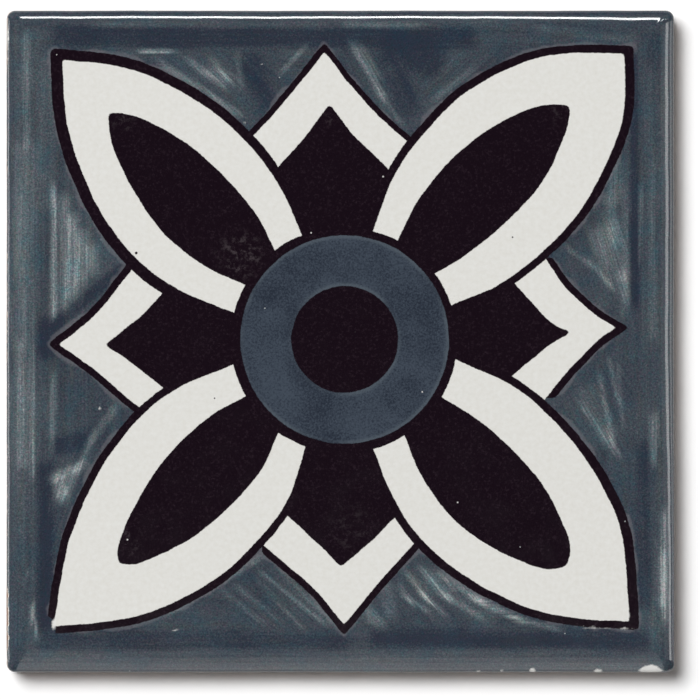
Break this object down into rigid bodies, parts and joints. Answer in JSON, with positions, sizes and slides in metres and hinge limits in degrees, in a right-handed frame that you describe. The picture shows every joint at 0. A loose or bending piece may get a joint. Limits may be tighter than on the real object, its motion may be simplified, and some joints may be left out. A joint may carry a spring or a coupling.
{
  "type": "wall tile",
  "caption": "Square glazed clay wall tile with a cushion edge, a keyed flat back and a painted flower ornament, for facing walls, splashbacks and stair risers.",
  "frame": {"origin": "middle of the bed, the flat back face that goes into the mortar", "axes": "+Z out of the painted face, +X across the face to its right, +Y up the face"},
  "size_m": [0.1058, 0.105, 0.0065],
  "materials": {
    "glazed_body": "gloss glaze over a painted face, bare clay sides and back"
  },
  "bodies": {
    "root": {"tile": "glazed_body"}
  },
  "joints": []
}
